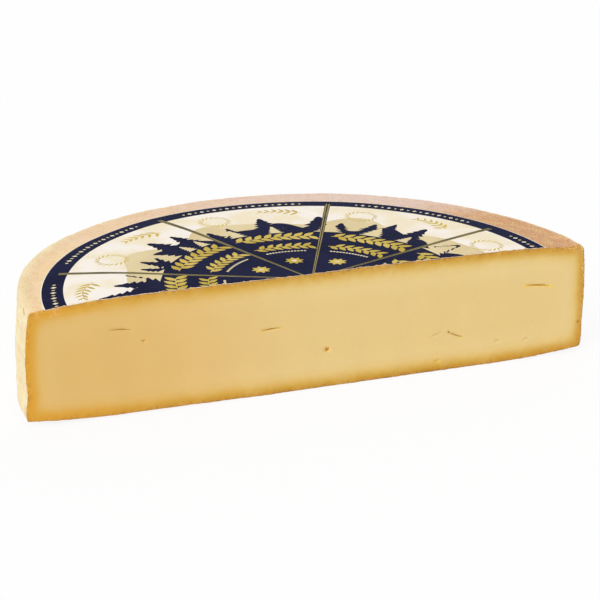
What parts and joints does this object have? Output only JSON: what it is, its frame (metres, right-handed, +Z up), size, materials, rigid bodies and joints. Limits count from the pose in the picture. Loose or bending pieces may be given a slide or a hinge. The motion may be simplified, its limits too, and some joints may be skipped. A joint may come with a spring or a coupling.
{
  "type": "mountain cheese half wheel",
  "caption": "Half of a large wheel of hard mountain cheese, cut straight through the middle, with half of its round paper label on top.",
  "frame": {"origin": "on the surface that it stands on, under the middle of the half wheel's box", "axes": "+X to the right along the straight cut, +Y from the cut face to the round side, +Z up"},
  "size_m": [0.5398, 0.2699, 0.1123],
  "materials": {
    "cheese": "hard cheese: smooth pale paste on the cut, dry grainy rind elsewhere",
    "label": "printed paper, dull"
  },
  "bodies": {
    "root": {"cheese": "cheese", "label": "label"}
  },
  "joints": []
}
